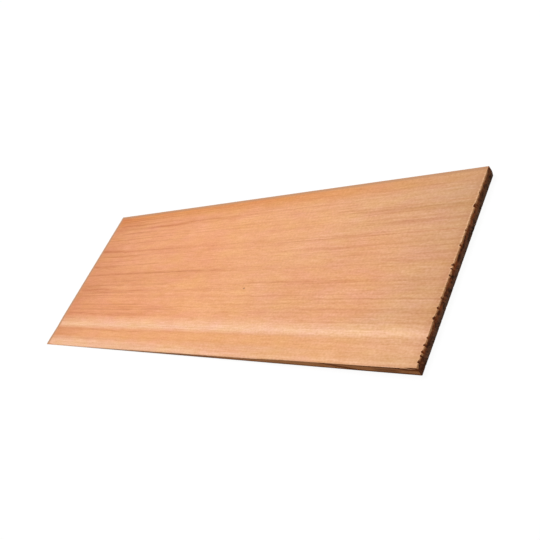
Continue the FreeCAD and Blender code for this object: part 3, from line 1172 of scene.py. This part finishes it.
    def build(self) -> Object:
        """Turn a fine block into the shingle and give each side its finish.

        Returns:
            The body.
        """
        finishes = {cut.name: self.finishes[cut] for cut in Cut}
        rule = ShapeRule("shingle_rule", {**named_sizes(self.section, self.arris, self), **finishes})
        web, size = rule.web, rule.given
        counts = {"Vertices X": size["Columns"], "Vertices Y": size["Rows"], "Vertices Z": size["Layers"]}
        shape = web.apply("GeometryNodeMeshCube", {"Size": (1.0, 1.0, 1.0), **counts})
        spot = web.wire(web.node("GeometryNodeInputPosition"))
        place, torn_back, chip = self.place(rule, spot)
        kept = ((BLANK, spot, "FLOAT_VECTOR", "FACE"), (TORN, torn_back, "FLOAT", "POINT"),
                (CHIP, chip, "FLOAT", "POINT"))
        for name, value, kind, domain in kept:
            inputs = {"Geometry": shape, "Name": name, "Value": value}
            shape = web.apply("GeometryNodeStoreNamedAttribute", inputs, data_type=kind, domain=domain)
        shape = web.apply("GeometryNodeSetPosition", {"Geometry": shape, "Position": place})
        blank = web.apply("GeometryNodeInputNamedAttribute", {"Name": BLANK}, "Attribute",
                          data_type="FLOAT_VECTOR")
        ahead, aside, _above = (web.math("ABSOLUTE", value) for value in web.split(blank))
        shape = web.apply("GeometryNodeRealizeInstances", {"Geometry": shape})
        shape = web.apply("GeometryNodeSetMaterial", {"Geometry": shape, "Material": size[Cut.FACE.name]})
        for cut, away in ((Cut.EDGE, aside), (Cut.END, ahead)):
            outermost = web.math("GREATER_THAN", away, 0.4999)
            inputs = {"Geometry": shape, "Material": size[cut.name], "Selection": outermost}
            shape = web.apply("GeometryNodeSetMaterial", inputs)
        web.put_out(shape)
        piece = rule.run("shingle_wood")
        piece.data.attributes.remove(piece.data.attributes[BLANK])
        return piece

    def dress(self, piece: Object) -> None:
        """Shade the body, put it on the frame and let it stand for the solid.

        Args:
            piece: The body.
        """
        piece.data.shade_smooth()
        piece.data.set_sharp_from_angle(angle=BODY_SHARP)
        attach(piece, BODY)
        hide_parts(NODE)


@dataclass
class ButtFibres:
    """Loose ends of fibres that the saw left standing along the butt's upper arris."""

    section: Section
    arris: TornArris
    finish: Material
    count: int = 330
    sides: int = 5
    root: float = 0.9 * MM
    sink: float = 0.5 * MM
    thickness: float = 0.22 * MM
    reach: float = 1.5 * MM
    margin: float = 5.0 * MM
    lean: Pair = (1.45, 2.1)
    swing: Pair = (-0.5, 0.5)
    girths: Pair = (0.6, 1.3)
    breadths: Pair = (0.8, 1.8)
    reaches: Pair = (0.6, 1.25)
    seed: int = 5

    def build(self) -> Object:
        """Stand a tapered fibre at each point of a line along the arris.

        Returns:
            The fibres.
        """
        sizes = named_sizes(self.section, self.arris, self)
        rule = ShapeRule("butt_fibre_rule", {**sizes, "Fibre": self.finish})
        web, size = rule.web, rule.given
        length, width, count, margin = size["Length"], size["Width"], size["Count"], size["Margin"]
        pitch = (width - margin * 2.0) / count
        points = web.apply("GeometryNodeMeshLine", {"Count": count, "Offset": web.combine(0.0, pitch, 0.0)})
        row = web.split(web.wire(web.node("GeometryNodeInputPosition")))[1]
        across = row + margin + pitch * self.draw(web, (0.0, 1.0), 1)
        chip = self.arris.chip(rule, across)
        along = length - chip - size["Root"]
        up = Section.face(rule, along, across) - size["Sink"] - chip * 0.5
        place = web.combine(along - length * 0.5, across - width * 0.5, up)
        points = web.apply("GeometryNodeSetPosition", {"Geometry": points, "Position": place})
        cone = {"Vertices": size["Sides"], "Radius Top": 0.0, "Radius Bottom": 1.0, "Depth": 1.0}
        sliver = web.apply("GeometryNodeMeshCone", cone)
        turn = web.combine(0.0, self.draw(web, self.lean, 2), self.draw(web, self.swing, 3))
        girth = size["Thickness"] * self.draw(web, self.girths, 4)
        breadth = girth * self.draw(web, self.breadths, 5)
        scale = web.combine(girth, breadth, size["Reach"] * self.draw(web, self.reaches, 6))
        inputs = {"Points": points, "Instance": sliver, "Rotation": turn, "Scale": scale}
        shape = web.apply("GeometryNodeInstanceOnPoints", inputs)
        shape = web.apply("GeometryNodeRealizeInstances", {"Geometry": shape})
        ahead, aside, above = web.split(web.wire(web.node("GeometryNodeInputPosition")))
        inside = web.combine(web.math("MINIMUM", ahead, length * 0.5), aside, above)
        shape = web.apply("GeometryNodeSetPosition", {"Geometry": shape, "Position": inside})
        web.put_out(web.apply("GeometryNodeSetMaterial", {"Geometry": shape, "Material": size["Fibre"]}))
        return rule.run("butt_fibres")

    def draw(self, web: NodeWeb, span: Pair, turn: int) -> Wire:
        """Draw a fixed random number for each point.

        Args:
            web: The rule's builder.
            span: Least and greatest value.
            turn: Which draw of the row it is.

        Returns:
            The number.
        """
        inputs = {2: span[0], 3: span[1], 8: self.seed * 10 + turn}
        return web.apply("FunctionNodeRandomValue", inputs, 1, data_type="FLOAT")

    def dress(self, piece: Object) -> None:
        """Put the fibres on the frame."""
        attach(piece, BODY)


@dataclass
class CornerSplinter:
    """A sliver that is half torn off the near arris where it meets the butt."""

    section: Section
    finish: Material
    run: float = 17.0 * MM
    stop: float = 1.2 * MM
    height: float = 1.2 * MM
    thickness: float = 0.6 * MM
    droop: float = 0.9 * MM
    start_below: float = 0.9 * MM
    thinning: float = 0.85
    stations: int = 10
    sides: int = 6

    def build(self) -> Object:
        """Loft the sliver from its root to its point.

        Returns:
            The splinter.
        """
        size = self.section
        near_height = size.butt - size.hollow_depth + size.roll_rise - size.edge_drop
        work = bmesh.new()
        rings = []
        for number in range(self.stations):
            share = number / (self.stations - 1)
            taper = 1.0 - self.thinning * share ** 1.5
            ahead = size.length / 2 - self.run + (self.run - self.stop) * share
            middle = near_height - self.start_below - self.droop * share ** 2
            aside = -size.width / 2 + self.thickness * (0.5 + 0.35 * math.sin(share * 7.0) * (1.0 - share))
            ring = []
            for side in range(self.sides):
                angle = math.tau * side / self.sides
                ring.append(work.verts.new((ahead, aside + self.thickness / 2 * taper * math.cos(angle),
                                            middle + self.height / 2 * taper * math.sin(angle))))
            rings.append(ring)
        for first, second in zip(rings, rings[1:]):
            for side in range(self.sides):
                after = (side + 1) % self.sides
                work.faces.new((first[side], first[after], second[after], second[side]))
        work.faces.new(rings[0])
        work.faces.new(rings[-1])
        bmesh.ops.recalc_face_normals(work, faces=work.faces)
        mesh = bpy.data.meshes.new("corner_splinter")
        work.to_mesh(mesh)
        work.free()
        mesh.materials.append(self.finish)
        return add_object("corner_splinter", mesh)

    def dress(self, piece: Object) -> None:
        """Shade the splinter and put it on the frame.

        Args:
            piece: The splinter.
        """
        piece.data.shade_smooth()
        piece.data.set_sharp_from_angle(angle=SLIVER_SHARP)
        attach(piece, BODY)


@dataclass(frozen=True)
class Studio:
    """A plain pale floor, soft light from above and behind, and the camera."""

    eye: tuple[float, float, float] = (0.66774, -0.37055, 0.49776)
    aim: tuple[float, float, float] = (0.0629088, 0.0044529, 0.0)
    roll: float = -44.5864
    lens: float = 51.6
    sensor: float = 36.0
    nearest: float = 0.01
    farthest: float = 50.0
    sun_strength: float = 2.3
    sun_from: tuple[float, float, float] = (-0.55, 0.40, 1.0)
    sun_spread: float = 30.0
    fill: float = 0.38
    floor_reach: float = 6.0
    floor_level: float = -0.1 * MM
    floor_colour: Colour = (0.27, 0.27, 0.27, 1.0)
    floor_seen: Colour = (0.08, 0.08, 0.08, 1.0)
    floor_glow: float = 0.94

    def camera(self) -> None:
        """Place the camera where the photograph was taken from."""
        data = bpy.data.cameras.new("camera")
        data.lens = self.lens
        data.sensor_width = self.sensor
        data.clip_start = self.nearest
        data.clip_end = self.farthest
        camera = add_object("camera", data)
        level = (Vector(self.aim) - Vector(self.eye)).to_track_quat("-Z", "Y").to_matrix()
        turned = level @ Matrix.Rotation(math.radians(self.roll), 3, "Z")
        camera.matrix_world = Matrix.Translation(self.eye) @ turned.to_4x4()
        bpy.context.scene.camera = camera

    def light(self) -> None:
        """Add one broad lamp from behind and above, and an even sky."""
        lamp = bpy.data.lights.new("soft_key", "SUN")
        lamp.energy = self.sun_strength
        lamp.angle = math.radians(self.sun_spread)
        key = add_object("soft_key", lamp)
        key.rotation_mode = "QUATERNION"
        key.rotation_quaternion = Vector(self.sun_from).to_track_quat("Z", "Y")
        world = bpy.data.worlds.new("studio")
        world.use_nodes = True
        web = NodeWeb(world.node_tree)
        sky = world.node_tree.nodes["Background"]
        web.join(self.seen(web) * (1.0 - self.fill) + self.fill, sky.inputs["Strength"])
        sky.inputs["Color"].default_value = WHITE
        bpy.context.scene.world = world

    @staticmethod
    def seen(web: NodeWeb) -> Wire:
        """Tell rays that show the background, directly or in a gloss, from those that only carry light.

        Args:
            web: The builder of the sky or of the floor's material.

        Returns:
            1 for rays that show the background.
        """
        path = web.node("ShaderNodeLightPath")
        kinds = ("Camera", "Transmission", "Glossy")
        camera, clear, gloss = (web.wire(path, f"Is {kind} Ray") for kind in kinds)
        return web.math("MAXIMUM", web.math("MAXIMUM", camera, clear), gloss)

    def floor(self) -> None:
        """Lay the floor: white to the eye, with the shingle's shadow on it."""
        reach, level = self.floor_reach, self.floor_level
        sides = ((-1, -1), (1, -1), (1, 1), (-1, 1))
        corners = [(ahead * reach, aside * reach, level) for ahead, aside in sides]
        mesh = bpy.data.meshes.new("floor")
        mesh.from_pydata(corners, [], [(0, 1, 2, 3)])
        material = bpy.data.materials.new("studio_floor")
        material.use_nodes = True
        web = NodeWeb(material.node_tree)
        shader = material.node_tree.nodes["Principled BSDF"]
        web.join(web.blend(self.seen(web), self.floor_colour, self.floor_seen), shader.inputs["Base Color"])
        shader.inputs["Roughness"].default_value = 1.0
        shader.inputs["Specular IOR Level"].default_value = 0.0
        shader.inputs["Emission Color"].default_value = WHITE
        web.join(self.seen(web) * self.floor_glow, shader.inputs["Emission Strength"])
        mesh.materials.append(material)
        floor = add_object("floor", mesh)

    def build(self) -> None:
        """Set up the whole studio."""
        self.floor()
        self.light()
        self.camera()
        bpy.context.scene.view_settings.view_transform = "Standard"


def main() -> None:
    """Build every piece in order, dress it and log its face count."""
    logging.basicConfig(level=logging.INFO, format="%(name)s: %(message)s")
    low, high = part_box(NODE)
    section = Section(length=high[0] - low[0], width=high[1] - low[1], butt=high[2] - low[2])
    arris = TornArris()
    stock = (WoodGroups.make(), section.length, section.width)
    finishes = {
        Cut.FACE: FaceFinish(*stock).material(),
        Cut.EDGE: EdgeFinish(*stock, section.butt, section.tip).material(),
        Cut.END: EndFinish(*stock, section.butt).material(),
    }
    loose = SplinterFinish(*stock).material()
    makers = (
        ShingleBody(section, arris, finishes),
        ButtFibres(section, arris, loose),
        CornerSplinter(section, loose),
    )
    for maker in makers:
        piece = maker.build()
        maker.dress(piece)
        LOG.info("%s: %d faces", piece.name, len(piece.data.polygons))
    Studio().build()


if __name__ == "__main__":
    main()
